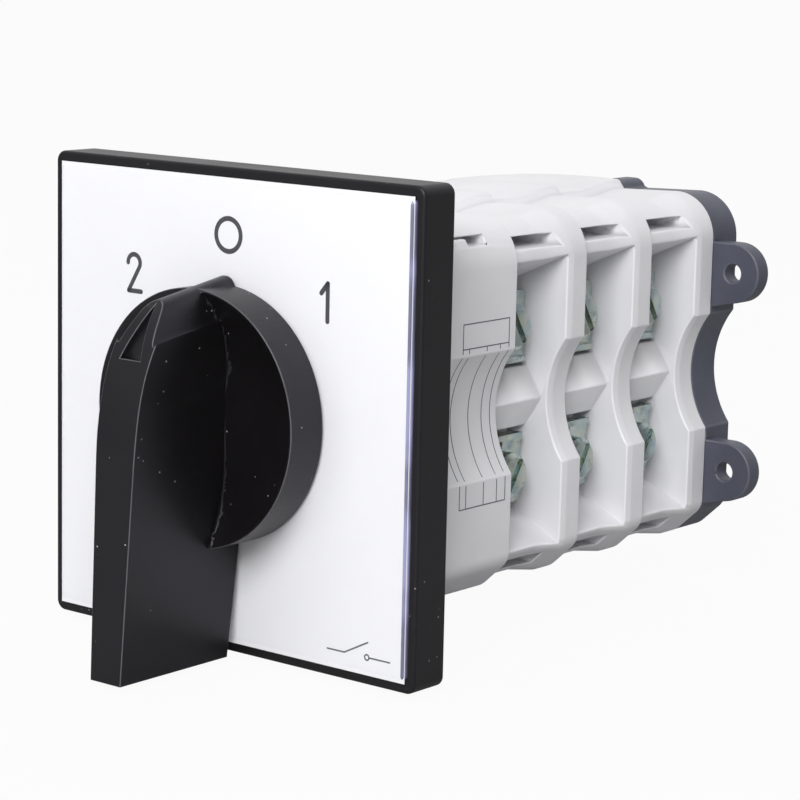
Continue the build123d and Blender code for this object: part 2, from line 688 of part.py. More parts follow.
def make_stage_body(back):
    """Moulding of one stage: a flange behind, then a bay with pockets that tapers forward."""
    bay = back + FLANGE
    middle = bay + BAY_DEPTH / 2
    slim = back + FLANGE_LAND + BAY_TAPER
    with BuildPart() as body:
        with BuildSketch(front(back)):
            add(HOUSING)
        extrude(amount=FLANGE_LAND)
        with BuildSketch(front(back + FLANGE_LAND)):
            add(HOUSING)
        with BuildSketch(front(slim)):
            add(BAY)
        loft(ruled=True)
        with BuildSketch(front(slim)):
            add(BAY)
        extrude(amount=back + STAGE_PITCH - slim)
        # Corner slots, with a ramp at the rear end
        for low in (SLOT_LOW, -SLOT_LOW - SLOT_HEIGHT):
            with BuildSketch(Plane.XY.offset(low)):
                Polygon(
                    (SLOT_INNER_X, -back - STAGE_PITCH),
                    (SLOT_INNER_X, -bay - SLOT_RAMP),
                    (SIDE_X - SLOT_RAMP, -bay - SLOT_RAMP),
                    (SIDE_X, -bay),
                    (BODY_WIDTH, -bay),
                    (BODY_WIDTH, -back - STAGE_PITCH),
                    align=None,
                )
                mirror(about=Plane.YZ)
            extrude(amount=SLOT_HEIGHT, mode=Mode.SUBTRACT)
        with BuildSketch(front(bay)):
            # Terminal pockets
            add(POCKET)
            # Chamber of the cam, plunger guides and room for the bridges
            Circle(CAM_R + CAM_LIFT + 1)
            Rectangle(PLUNGER_HALF + WALL_CLEARANCE, CHANNEL_TOP, align=Align.MIN)
            with Locations((0, ARM_LOW)):
                height = BRIDGE_TOP + CAM_LIFT + SIDE_CLEARANCE - ARM_LOW
                Rectangle(BRIDGE_HALF, height, align=Align.MIN)
            mirror(about=Plane.YZ)
            mirror(about=Plane.XZ)
        extrude(amount=BAY_DEPTH, mode=Mode.SUBTRACT)
        # Recesses over the terminals, where the conductors' ends run out
        with BuildSketch(front(middle - CONTACT_BAR_WIDTH / 2)):
            with Locations((WIRE_REACH, ARM_TOP)):
                Rectangle(BAR_X + 1 - WIRE_REACH, POCKET_SEAT_Z - ARM_TOP, align=Align.MIN)
            mirror(about=Plane.YZ)
            mirror(about=Plane.XZ)
        extrude(amount=CONTACT_BAR_WIDTH, mode=Mode.SUBTRACT)
        # Slots of the contact arms, from the pocket seats to the bridge room
        slot = ARM_WIDTH + 2 * WALL_CLEARANCE
        with BuildSketch(front(middle - slot / 2)):
            for side in (1, -1):
                with Locations((0, side * (ARM_LOW + ARM_THICKNESS / 2))):
                    Rectangle(2 * BAR_X + SHAFT_FIT, ARM_THICKNESS + WALL_CLEARANCE)
        extrude(amount=slot, mode=Mode.SUBTRACT)
        # Clearance holes behind the terminal screws
        for side in (1, -1):
            with BuildSketch(Plane.YZ.offset(side * (TERMINAL_REACH - SIDE_CLEARANCE))):
                with Locations((-middle, TERMINAL_Z), (-middle, -TERMINAL_Z)):
                    Circle(TERMINAL_R + SIDE_CLEARANCE)
            extrude(amount=side * (BAR_X + 1 - TERMINAL_REACH), mode=Mode.SUBTRACT)
        with BuildSketch(front(back)):
            Circle(CAM_HUB_R + SIDE_CLEARANCE)
            with Locations(*TIES):
                Circle(TIE_R + WALL_CLEARANCE)
        extrude(amount=STAGE_PITCH, mode=Mode.SUBTRACT)
    return body


def make_fixed_contacts(middle):
    """Four terminal bars, each with an arm that carries a contact tip inside the chamber."""
    with BuildPart() as contacts:
        with BuildSketch(front(middle - CONTACT_BAR_WIDTH / 2)):
            with Locations((BAR_X, CLAMP_LOW + BAR_SETBACK)):
                Rectangle(CONTACT_BAR, ARM_TOP - CLAMP_LOW - BAR_SETBACK, align=Align.MIN)
        extrude(amount=CONTACT_BAR_WIDTH)
        with BuildSketch(front(middle - ARM_WIDTH / 2)):
            with Locations((TIP_X - TIP_R, ARM_LOW)):
                Rectangle(BAR_X + CONTACT_BAR - TIP_X + TIP_R, ARM_THICKNESS, align=Align.MIN)
        extrude(amount=ARM_WIDTH)
        with BuildSketch(Plane.XY.offset(ARM_TOP)):
            with Locations((TIP_X, -middle)):
                Circle(TIP_R)
        extrude(amount=TIP_THICKNESS)
        with BuildSketch(Plane.YZ.offset(BAR_X)):
            with Locations((-middle, TERMINAL_Z)):
                Circle(TERMINAL_R + SHAFT_FIT)
        extrude(amount=CONTACT_BAR, mode=Mode.SUBTRACT)
        quarter_copies()
    return contacts


def make_clamp_plates(middle):
    """Four clamp plates under the terminal screws, each with a lip turned out at its foot."""
    with BuildPart() as plates:
        with BuildSketch(Plane.YZ.offset(PLATE_FACE_X - CLAMP_THICKNESS)):
            with Locations((-middle, (CLAMP_LOW + CLAMP_TOP) / 2)):
                RectangleRounded(CLAMP_WIDTH, CLAMP_TOP - CLAMP_LOW, 1)
            with Locations((-middle, TERMINAL_Z)):
                Circle(TERMINAL_R + SHAFT_FIT, mode=Mode.SUBTRACT)
            with Locations((-middle, KEY_HOLE_Z)):
                Circle(KEY_HOLE_R, mode=Mode.SUBTRACT)
        extrude(amount=CLAMP_THICKNESS)
        with BuildSketch(Plane.YZ.offset(PLATE_FACE_X)):
            with Locations((-middle, CLAMP_LOW + CLAMP_LIP / 2)):
                Rectangle(CLAMP_WIDTH - 2, CLAMP_LIP)
        extrude(amount=CLAMP_LIP)
        quarter_copies()
    return plates


def make_terminal_screws(middle):
    """Four slotted terminal screws with plain washers, driven from the sides."""
    head_x = PLATE_FACE_X + WASHER_THICKNESS
    with BuildPart() as screws:
        with BuildSketch(Plane.YZ.offset(head_x)):
            with Locations((-middle, TERMINAL_Z)):
                Circle(TERMINAL_HEAD_R)
        extrude(amount=TERMINAL_HEAD)
        chamfer(screws.faces().sort_by(Axis.X)[-1].edges(), HEAD_CHAMFER)
        with BuildSketch(Plane.YZ.offset(head_x + TERMINAL_HEAD)):
            with Locations((-middle, TERMINAL_Z)):
                Rectangle(DRIVER_SLOT, 3 * TERMINAL_HEAD_R, rotation=DRIVER_TURN)
        extrude(amount=-DRIVER_DEPTH, mode=Mode.SUBTRACT)
        with BuildSketch(Plane.YZ.offset(PLATE_FACE_X)):
            with Locations((-middle, TERMINAL_Z)):
                Circle(WASHER_R)
        extrude(amount=WASHER_THICKNESS)
        with BuildSketch(Plane.YZ.offset(TERMINAL_REACH)):
            with Locations((-middle, TERMINAL_Z)):
                Circle(TERMINAL_R)
        extrude(amount=PLATE_FACE_X - TERMINAL_REACH)
        quarter_copies()
    return screws


def make_cam(back, middle):
    """Cam of one stage with a hub as long as the stage, on the square shaft."""
    with BuildPart() as cam:
        with BuildSketch(front(middle - CAM_THICKNESS / 2)):
            with BuildLine():
                around = [math.radians(angle) for angle in range(0, 360, CAM_STEP)]
                rim = [(cam_radius(math.degrees(a)), a) for a in around]
                Spline(*[(r * math.cos(a), r * math.sin(a)) for r, a in rim], periodic=True)
            make_face()
        extrude(amount=CAM_THICKNESS)
        with BuildSketch(front(back + SHAFT_FIT)):
            Circle(CAM_HUB_R)
        extrude(amount=STAGE_PITCH - 2 * SHAFT_FIT)
        with BuildSketch(front(back)):
            Rectangle(SQUARE_BORE, SQUARE_BORE)
        extrude(amount=STAGE_PITCH, mode=Mode.SUBTRACT)
    return cam


def make_plunger(middle, side):
    """Plunger between the cam and its return spring, with a window for the bridge."""
    shoulder = CAM_TOP + PLUNGER_NOSE_R
    with BuildPart() as plunger:
        with BuildSketch(front(middle - PLUNGER_DEPTH / 2)):
            with Locations((0, side * shoulder)):
                Circle(PLUNGER_NOSE_R)
            with Locations((0, side * (shoulder + PLUNGER_TOP) / 2)):
                Rectangle(2 * PLUNGER_HALF, PLUNGER_TOP - shoulder)
        extrude(amount=PLUNGER_DEPTH)
        with BuildSketch(front(middle - BRIDGE_WIDTH / 2 - SHAFT_FIT)):
            with Locations((0, side * (BRIDGE_LOW + BRIDGE_TOP) / 2)):
                Rectangle(BODY_WIDTH, BRIDGE_THICKNESS + SHAFT_FIT)
        extrude(amount=BRIDGE_WIDTH + 2 * SHAFT_FIT, mode=Mode.SUBTRACT)
    return plunger


def make_bridge(middle, side):
    """Contact bridge through the plunger's window, with a tip over each fixed contact."""
    with BuildPart() as bridge:
        with BuildSketch(front(middle - BRIDGE_WIDTH / 2)):
            with Locations((0, side * (BRIDGE_LOW + BRIDGE_TOP) / 2)):
                Rectangle(2 * (TIP_X + TIP_R), BRIDGE_THICKNESS)
        extrude(amount=BRIDGE_WIDTH)
        with BuildSketch(Plane.XY.offset(side * BRIDGE_LOW)):
            with Locations((TIP_X, -middle), (-TIP_X, -middle)):
                Circle(TIP_R)
        extrude(amount=-side * TIP_THICKNESS)
    return bridge


for number in range(1, STAGES + 1):
    stage_back = FIRST_STAGE + (STAGES - number) * STAGE_PITCH
    stage_middle = stage_back + FLANGE + BAY_DEPTH / 2
    save(make_stage_body(stage_back), f"stage_{number}")
    save(make_fixed_contacts(stage_middle), f"fixed_contacts_{number}")
    save(make_clamp_plates(stage_middle), f"clamp_plates_{number}")
    save(make_terminal_screws(stage_middle), f"terminal_screws_{number}")
    save(make_cam(stage_back, stage_middle), f"cam_{number}")
    for end, side in (("top", 1), ("bottom", -1)):
        save(make_plunger(stage_middle, side), f"plunger_{number}_{end}")
        save(make_bridge(stage_middle, side), f"bridge_{number}_{end}")
        return_spring = leaf_spring(
            PLUNGER_TOP + LEAF_GAP,
            CHANNEL_TOP - LEAF_GAP,
            PLUNGER_HALF - WALL_CLEARANCE,
            side,
            stage_middle - BRIDGE_WIDTH / 2,
            BRIDGE_WIDTH,
        )
        save(return_spring, f"return_spring_{number}_{end}")

# ---------------------------------------------------- rear plate and tie bolts

with BuildPart() as rear_plate:
    with BuildSketch(front(0)):
        add(PLATE_SECTION)
        for turned in (lambda point: point, half_turn):
            with Locations(turned((STEP_X - LUG_WIDTH / 2, LUG_TOP / 2))):
                RectangleRounded(LUG_WIDTH, LUG_TOP, LUG_R)
    extrude(amount=REAR_PLATE)
    # Fixing ears, flush with the plate's front
    for x_side, z_side in QUARTERS:
        with BuildSketch(front(REAR_PLATE)):
            with BuildLine():
                CenterArc((x_side * EAR_X, z_side * EAR_Z), EAR_R, 0, 360)
                root = x_side * (SIDE_X - LOBE_R)
                flat = EAR_Z * z_side + EAR_R * x_side
                flare = EAR_Z * z_side - (EAR_R + EAR_FLARE) * x_side
                Polyline(
                    (x_side * EAR_X, flat),
                    (root, flat),
                    (root, flare),
                    (x_side * (SIDE_X - 1), flare),
                )
            make_hull()
            with Locations((x_side * EAR_X, z_side * EAR_Z)):
                Circle(EAR_HOLE_R, mode=Mode.SUBTRACT)
        extrude(amount=-EAR_THICKNESS)
    with BuildSketch(front(REAR_PLATE)):
        Circle(JOURNAL_R + RUNNING_FIT)
    extrude(amount=-BEARING_DEPTH, mode=Mode.SUBTRACT)
    with BuildSketch(front(0)):
        with Locations(*TIES):
            Circle(TIE_HEAD_R + WALL_CLEARANCE)
    extrude(amount=TIE_SINK, mode=Mode.SUBTRACT)
    with BuildSketch(front(0)):
        with Locations(*TIES):
            Circle(TIE_R + WALL_CLEARANCE)
    extrude(amount=REAR_PLATE, mode=Mode.SUBTRACT)
save(rear_plate, "rear_plate")

with BuildPart() as tie_bolts:
    with BuildSketch(front(TIE_SINK - TIE_HEAD)):
        with Locations(*TIES):
            Circle(TIE_HEAD_R)
    extrude(amount=TIE_HEAD)
    with BuildSketch(front(TIE_SINK - TIE_HEAD)):
        with Locations(*TIES):
            Rectangle(2 * TIE_HEAD_R, SCREW_SLOT)
    extrude(amount=SCREW_SLOT, mode=Mode.SUBTRACT)
    with BuildSketch(front(TIE_SINK)):
        with Locations(*TIES):
            Circle(TIE_R)
    extrude(amount=BLOCK_BACK + INSERT_LENGTH - TIE_SINK)
save(tie_bolts, "tie_bolts")

with BuildPart() as tie_inserts:
    with BuildSketch(front(BLOCK_BACK)):
        with Locations(*TIES):
            Circle(INSERT_R - SHAFT_FIT)
            Circle(TIE_R + SHAFT_FIT, mode=Mode.SUBTRACT)
    extrude(amount=INSERT_LENGTH)
save(tie_inserts, "tie_inserts")
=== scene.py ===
import math

import bmesh
import bpy
import numpy as np
from mathutils import Matrix, Vector


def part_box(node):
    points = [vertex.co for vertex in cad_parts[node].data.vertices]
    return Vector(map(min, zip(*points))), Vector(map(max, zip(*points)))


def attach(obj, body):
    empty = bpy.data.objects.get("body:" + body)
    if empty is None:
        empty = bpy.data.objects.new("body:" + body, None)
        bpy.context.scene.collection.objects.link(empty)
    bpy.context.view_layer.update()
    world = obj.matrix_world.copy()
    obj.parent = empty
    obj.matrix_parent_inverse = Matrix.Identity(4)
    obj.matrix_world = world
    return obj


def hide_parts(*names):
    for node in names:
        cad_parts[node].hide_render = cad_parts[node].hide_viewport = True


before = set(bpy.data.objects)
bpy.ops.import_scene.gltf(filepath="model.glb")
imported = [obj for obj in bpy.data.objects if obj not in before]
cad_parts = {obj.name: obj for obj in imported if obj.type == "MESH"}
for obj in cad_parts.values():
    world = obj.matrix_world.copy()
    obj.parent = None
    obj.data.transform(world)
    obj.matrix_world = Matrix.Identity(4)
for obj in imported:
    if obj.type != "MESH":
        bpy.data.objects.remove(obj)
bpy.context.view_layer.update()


# ------------------------------------------------------------------ studio
# A plain white table and backdrop with three large soft lamps.
# The table keeps the switch's shadow, and metal and clear plastic mirror the backdrop.

def shown(name, data):
    """A new object at the origin that holds a mesh, a lamp or a camera."""
    piece = bpy.data.objects.new(name, data)
    bpy.context.scene.collection.objects.link(piece)
    return piece


def square(name, half, height):
    """A flat square: x and y run over plus and minus half, at one height."""
    mesh = bpy.data.meshes.new(name)
    corners = np.array([(-1, -1), (1, -1), (1, 1), (-1, 1)], float) * half
    points = np.column_stack([corners, np.full(4, height)])
    mesh.from_pydata(points.tolist(), [], [(0, 1, 2, 3)])
    return shown(name, mesh)


switch_middle = Vector((0.0, -0.06, 0.0))


def lamp(name, power, size, place):
    """A square area lamp of a size in metres, at a place, turned to the switch's middle."""
    light = bpy.data.lights.new(name, "AREA")
    light.energy = power
    light.size = size
    stand = shown(name, light)
    stand.location = place
    stand.rotation_euler = (switch_middle - Vector(place)).to_track_quat("-Z", "Y").to_euler()


lamp("lamp_key", 15.5, 0.7, (0.54, -0.98, 0.72))
lamp("lamp_front", 2.7, 0.9, (-0.45, -1.25, 0.55))
lamp("lamp_top", 0.8, 1.0, (-0.1, 0.1, 1.2))

world = bpy.data.worlds.new("white_room")
world.use_nodes = True
bpy.context.scene.world = world
room = world.node_tree


def room_node(kind, operation, *values):
    """Adds a node to the room's light, with numbers or links in its sockets."""
    made = room.nodes.new("ShaderNode" + kind)
    if operation:
        made.operation = operation
    for socket, value in zip(made.inputs, values):
        if isinstance(value, bpy.types.NodeSocket):
            room.links.new(value, socket)
        elif value is not None:
            socket.default_value = value
    return made


# The backdrop stands behind the switch on the left, and the rest of the room is dimmer.
# What is seen straight or through the clear cover is white all round.
rays = room_node("LightPath", None).outputs
heading = room_node("TexCoord", None).outputs["Generated"]
backdrop_side = (-0.6, 0.74, 0.3)
backdrop_starts, backdrop_full = 0.1, 0.8
dim_room, white_backdrop = 0.2, 1.0
toward = room_node("VectorMath", "DOT_PRODUCT", heading, backdrop_side).outputs["Value"]
facing = room_node(
    "MapRange", None, toward, backdrop_starts, backdrop_full, dim_room, white_backdrop,
).outputs["Result"]
white = room_node("Math", "MAXIMUM", rays["Is Camera Ray"], rays["Is Transmission Ray"])
light = room_node("Math", "MAXIMUM", white.outputs[0], facing)
sky = room_node("Background", None, (1, 1, 1, 1), light.outputs[0])
room.links.new(sky.outputs[0], room.nodes["World Output"].inputs["Surface"])

# The camera stands in front on the right, a little above, and is rolled slightly.
camera = bpy.data.cameras.new("camera")
camera_x, camera_y, camera_z = 0.3328, -0.4773, 0.0896
camera.lens = 122.54
camera.sensor_width = 36.0
camera.clip_start = 0.01
turn, tilt, roll = (math.radians(a) for a in (38.868, 9.999, 1.2535))
back = Vector((math.sin(turn) * math.cos(tilt), -math.cos(turn) * math.cos(tilt), math.sin(tilt)))
level = Vector((0, 0, 1)).cross(back).normalized()
upright = back.cross(level)
right = level * math.cos(roll) + upright * math.sin(roll)
up = upright * math.cos(roll) - level * math.sin(roll)
eye = shown("camera", camera)
eye.matrix_world = Matrix((
    (right.x, up.x, back.x, camera_x),
    (right.y, up.y, back.y, camera_y),
    (right.z, up.z, back.z, camera_z),
    (0, 0, 0, 1),
))
bpy.context.scene.camera = eye
bpy.context.scene.view_settings.view_transform = "Standard"


class Value:
    """A number that varies over a surface; arithmetic on it adds the shader's Math nodes."""

    def __init__(self, mix, socket):
        self.mix, self.socket = mix, socket

    def math(self, operation, *others):
        return self.mix.node("Math", {"operation": operation}, self, *others)

    def __add__(self, other):
        return self.math("ADD", other)

    def __rsub__(self, other):
        return self.mix.node("Math", {"operation": "SUBTRACT"}, other, self)

    def __mul__(self, other):
        return self.math("MULTIPLY", other)

    def between(self, low, high):
        """Rises smoothly from 0 at low to 1 at high."""
        return self.mix.node("MapRange", {"interpolation_type": "SMOOTHSTEP"}, self, low, high)

    __radd__ = __add__


class Finish:
    """One material in the making: its node tree and the Principled shader at its end."""

    def __init__(self, name, **constants):
        self.material = bpy.data.materials.new(name)
        self.material.use_nodes = True
        self.tree = self.material.node_tree
        self.shader = self.tree.nodes["Principled BSDF"]
        for socket, value in constants.items():
            self.shader.inputs[socket.replace("_", " ")].default_value = value

    def node(self, kind, settings, *values, out=0, **named):
        """Adds a node of a type, makes its settings, fills its sockets, and gives one output."""
        made = self.tree.nodes.new("ShaderNode" + kind)
        for name, setting in settings.items():
            setattr(made, name, setting)
        for key, value in [*enumerate(values), *named.items()]:
            socket = made.inputs[key.replace("_", " ") if isinstance(key, str) else key]
            if isinstance(value, Value):
                self.tree.links.new(value.socket, socket)
            else:
                socket.default_value = value
        return Value(self, made.outputs[out])

    def place(self):
        """The point's place on the piece, in metres."""
        return self.node("TexCoord", {}, out="Object")

    def axes(self):
        """The point's x, y and z as three numbers."""
        split = self.node("SeparateXYZ", {}, self.place()).socket.node
        return [Value(self, output) for output in split.outputs]

    def noise(self, size, detail=2.0):
        """Clouds about the given size across, in metres, from 0 to 1."""
        return self.node("TexNoise", {}, Vector=self.place(), Scale=1 / size, Detail=detail)

    def specks(self, spacing, radius):
        """Round specks: 1 inside a radius of scattered centres, 0 outside."""
        far = self.node("TexVoronoi", {}, Vector=self.place(), Scale=1 / spacing, out="Distance")
        return 1 - far.between(radius / spacing * 0.7, radius / spacing)

    def blend(self, share, first, second):
        """A colour between two colours. The Mix node keeps its colours in sockets 6 and 7,
        and gives their mix in output 2."""
        first, second = (c if isinstance(c, Value) else (*c, 1) for c in (first, second))
        made = self.node("Mix", {"data_type": "RGBA"}, share, out=2).socket.node
        for socket, value in ((made.inputs[6], first), (made.inputs[7], second)):
            if isinstance(value, Value):
                self.tree.links.new(value.socket, socket)
            else:
                socket.default_value = value
        return Value(self, made.outputs[2])

    def bump(self, height, strength, depth):
        """The surface's normal, raised by a height that is 1 at the given depth in metres."""
        return self.node(
            "Bump", {}, Height=height, Strength=strength, Distance=depth, out="Normal",
        )

    def set(self, **inputs):
        """Links varying values to the shader's sockets and returns the material."""
        for socket, value in inputs.items():
            self.tree.links.new(value.socket, self.shader.inputs[socket.replace("_", " ")])
        return self.material


# The table glows white where it is seen, straight or through the cover, and keeps a
# twentieth of its own shading for the shadow.
table = square("table", 12.0, -0.0465)
top = Finish("table_white", Base_Color=(0.4, 0.4, 0.4, 1), Roughness=0.9)
straight, through = (
    top.node("LightPath", {}, out=f"Is {ray} Ray") for ray in ("Camera", "Transmission")
)
seen = straight.math("MAXIMUM", through)
glow_share = 0.95
glow = top.node("Emission", {}, (1, 1, 1, 1), 1.0)
mixed = top.node("MixShader", {}, seen * glow_share, Value(top, top.shader.outputs[0]), glow)
top.tree.links.new(mixed.socket, top.tree.nodes["Material Output"].inputs["Surface"])
table.data.materials.append(top.material)


# ------------------------------------------------------------- front frame
# Square escutcheon moulded in black thermoplastic, with a fine sparked texture.
# Its bevelled edges are lighter, partly as wear and partly as a painted highlight, and dust lies
# on it.

def merged(node, name, edge, angle=28.0):
    """The node's skin as one welded mesh: flat faces joined up, outer edges sharper than an
    angle in degrees rounded to a radius in metres, and softer edges shaded smooth. An outer
    edge that meets no other is a stray of the mesh and isn't rounded."""
    weld, flat_within = 2e-6, math.radians(0.4)
    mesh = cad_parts[node].data.copy()
    mesh.name = name
    mesh.materials.clear()
    skin = bmesh.new()
    skin.from_mesh(mesh)
    bmesh.ops.remove_doubles(skin, verts=skin.verts, dist=weld)
    bmesh.ops.dissolve_limit(
        skin, angle_limit=flat_within, verts=skin.verts, edges=skin.edges,
        delimit={"NORMAL"},
    )
    rounded = skin.edges.layers.float.new("bevel_weight_edge")
    sharp = math.radians(angle)
    outer = {line for line in skin.edges if line.calc_face_angle_signed(0) > sharp}
    for line in outer:
        beside = {other for end in line.verts for other in end.link_edges} - {line}
        line[rounded] = not outer.isdisjoint(beside)
    skin.to_mesh(mesh)
    skin.free()
    mesh.shade_smooth()
    mesh.set_sharp_from_angle(angle=sharp)
    piece = shown(name, mesh)
    round_off = piece.modifiers.new("round_off", "BEVEL")
    round_off.width = edge
    round_off.segments = 2
    round_off.limit_method = "WEIGHT"
    round_off.use_clamp_overlap = False
    # The bevel's faces take the second material, which paints a lighter highlight on the rounded
    # edges.
    round_off.material = 1
    flats = piece.modifiers.new("flats", "WEIGHTED_NORMAL")
    flats.keep_sharp = True
    return piece


def stand_in(piece, node, body, slot, *materials):
    """Shows a piece instead of its CAD node: faces in the first material, edges in the
    second, on the node's body."""
    for material in materials:
        piece.data.materials.append(material)
    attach(piece, body)
    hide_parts(node)


def black_moulding(name, tint, edge=0.0, dusty=0.5, rough=0.34):
    """Black plastic: sparked grain, faint clouds of polish, dust specks and scuffs; an edge share
    above 0 paints a lighter highlight in clouds.
    """
    mix = Finish(name, Specular_IOR_Level=0.44, Specular_Tint=(0.86, 0.88, 1.0, 1))
    clouds = mix.noise(0.014, 3.0)
    grain = mix.noise(0.00035, 2.0)
    dust = mix.specks(0.0031, 0.00019) * mix.noise(0.03).between(0.4, 0.6)
    scuffs = mix.noise(0.0013, 5.0).between(0.66, 0.8) * mix.noise(0.02).between(0.52, 0.7)
    darker, lighter = ([c * share for c in tint] for share in (0.85, 1.15))
    base = mix.blend(clouds.between(0.3, 0.7), darker, lighter)
    # Scuffs are wear; clouds times edge paint a lighter highlight on the edge materials.
    scuffs_and_painted_edge_highlight = mix.blend(scuffs * 0.3 + clouds * edge, base, (0.2, 0.19, 0.205))
    return mix.set(
        Base_Color=mix.blend(dust * dusty, scuffs_and_painted_edge_highlight, (0.5, 0.49, 0.48)),
        Roughness=rough + clouds * 0.14 + grain * 0.1 + scuffs * 0.2 + dust * 0.2,
        Normal=mix.bump(grain * 0.5 + clouds * 0.5, 0.35, 0.00006),
    )


frame_black = black_moulding("frame_black", (0.0065, 0.0052, 0.005))
# The edge material, on the bevelled edges, is lighter: partly wear, partly a painted highlight.
frame_edge_wear_and_painted_highlight = black_moulding("frame_edge_wear_and_painted_highlight", (0.016, 0.0135, 0.0135), edge=0.25)
escutcheon = merged("front_frame", "escutcheon", 0.00018)
stand_in(escutcheon, "front_frame", "housing", "black_plastic", frame_black, frame_edge_wear_and_painted_highlight)


# ------------------------------------------------------------------- handle
# Knob moulded in the same black plastic: a dished disc with a tall pointed blade.
# Fingers have polished it, so it is a little smoother and greyer than the frame.

handle_black = black_moulding("handle_black", (0.0054, 0.0044, 0.0048), dusty=0.8, rough=0.26)
# The knob's edge material is far lighter than its faces: a painted highlight on the bevelled
# edges, with some wear.
handle_edge_wear_and_painted_highlight = black_moulding("handle_edge_wear_and_painted_highlight", (0.05, 0.046, 0.052), edge=0.6)
knob = merged("handle", "knob", 0.00015, angle=36.0)
stand_in(knob, "handle", "rotor", "black_plastic", handle_black, handle_edge_wear_and_painted_highlight)

# The narrow land round the dished front takes the edge material with its painted highlight, as
# the edges do. It is the front faces whose middles lie within land_width of the disc's radius.
disc_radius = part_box("handle")[1].x
land_width = 0.0004
count = len(knob.data.polygons)
middles, normals = np.empty(count * 3), np.empty(count * 3)
knob.data.polygons.foreach_get("center", middles)
knob.data.polygons.foreach_get("normal", normals)
reach = np.hypot(middles[0::3], middles[2::3])
land = (np.abs(reach - disc_radius) < land_width) & (normals[1::3] < -0.5)
knob.data.polygons.foreach_set("material_index", land.astype(int))


# ------------------------------------------------------------- legend sheet
# White plastic sheet under the clear cover, with the positions 0, 1 and 2 and the
# symbol of a switch printed on it. Its face shows nearer than it lies, through the cover.

def sheet_white():
    """White sheet: faint clouds, a fibrous skin and a few grey specks."""
    mix = Finish("sheet_white", Specular_IOR_Level=0.4)
    clouds = mix.noise(0.03, 2.0)
    fibre = mix.noise(0.0006, 3.0)
    specks = mix.specks(0.0026, 0.0001) * mix.noise(0.02).between(0.45, 0.7)
    base = mix.blend(clouds, (0.87, 0.87, 0.905), (0.91, 0.91, 0.935))
    return mix.set(
        Base_Color=mix.blend(specks * 0.5, base, (0.5, 0.49, 0.5)),
        Roughness=0.42 + fibre * 0.16,
        Normal=mix.bump(fibre, 0.15, 0.00003),
    )


def pierced_square(name, half, hole, front, thickness):
    """A square sheet with a round hole: four rings of points by angle, hole and edge at the
    front and edge and hole at the back. The edge lies at half over the greater of |cos| and
    |sin|, which is a square."""
    turn = np.linspace(0, 2 * math.pi, 96, endpoint=False)
    around = np.column_stack([np.cos(turn), np.sin(turn)])
    edge = around * (half / np.abs(around).max(axis=1))[:, None]
    rings = np.stack([around * hole, edge, edge, around * hole])
    points = np.empty((4, len(turn), 3))
    points[..., 0] = rings[..., 0]
    points[..., 1] = np.array([front, front, front + thickness, front + thickness])[:, None]
    points[..., 2] = rings[..., 1]
    here = np.arange(points[..., 0].size).reshape(4, -1)
    down, onward = np.roll(here, -1, 0), np.roll(here, -1, 1)
    faces = np.stack([here, down, np.roll(down, -1, 1), onward], axis=-1).reshape(-1, 4)
    mesh = bpy.data.meshes.new(name)
    mesh.from_pydata(points.reshape(-1, 3).tolist(), [], faces.tolist())
    return shown(name, mesh)


def dress(material, *nodes):
    """Gives a material to shown CAD nodes."""
    for name in nodes:
        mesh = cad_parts[name].data
        mesh.materials.clear()
        mesh.materials.append(material)


sheet = sheet_white()
dress(sheet, "legend_plate")
cover_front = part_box("front_cover")[0].y
seen_depth = 0.00045
legend_front = cover_front + seen_depth
legend_face = pierced_square("legend_face", 0.0431, 0.0112, legend_front, 0.0001)
legend_face.data.materials.append(sheet)
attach(legend_face, "housing")


def arc(centre, radius, start, end, steps=24):
    """Points on a circle's arc between two angles in degrees."""
    angles = np.radians(np.linspace(start, end, steps))
    return np.column_stack([
        centre[0] + radius * np.cos(angles),
        centre[1] + radius * np.sin(angles),
    ])


def rails(points, width, closed):
    """The two edges of a pen's stroke along points: each point moved half a width to the
    left and right, along the line that halves the angle between its two runs, and further
    at a bend, down to a cosine of bend_limit. The ends of an open stroke are rounded by
    three more pairs of points on a half circle."""
    bend_limit, end_angles = 0.35, [75, 50, 25]
    line = np.asarray(points, float)
    if closed:
        before, after = np.roll(line, 1, 0), np.roll(line, -1, 0)
    else:
        before = np.vstack([2 * line[0] - line[1], line[:-1]])
        after = np.vstack([line[1:], 2 * line[-1] - line[-2]])
    run_in = line - before
    run_out = after - line
    run_in /= np.linalg.norm(run_in, axis=1)[:, None]
    run_out /= np.linalg.norm(run_out, axis=1)[:, None]
    across = (run_in + run_out)[:, ::-1] * (-1, 1)
    across /= np.linalg.norm(across, axis=1)[:, None]
    straight = np.sum(across * run_in[:, ::-1] * (-1, 1), axis=1)
    across *= (width / 2 / np.maximum(straight, bend_limit))[:, None]
    if closed:
        return line + across, line - across
    turns = np.radians(end_angles)[:, None]
    start = line[0] + across[0] * [[1], [-1]] * np.cos(turns)[:, None]
    start = start - run_out[0] * np.sin(turns)[:, None] * width / 2
    end = line[-1] + across[-1] * [[1], [-1]] * np.cos(turns)[:, None]
    end = (end + run_in[-1] * np.sin(turns)[:, None] * width / 2)[::-1]
    return (
        np.vstack([start[:, 0], line + across, end[:, 0]]),
        np.vstack([start[:, 1], line - across, end[:, 1]]),
    )


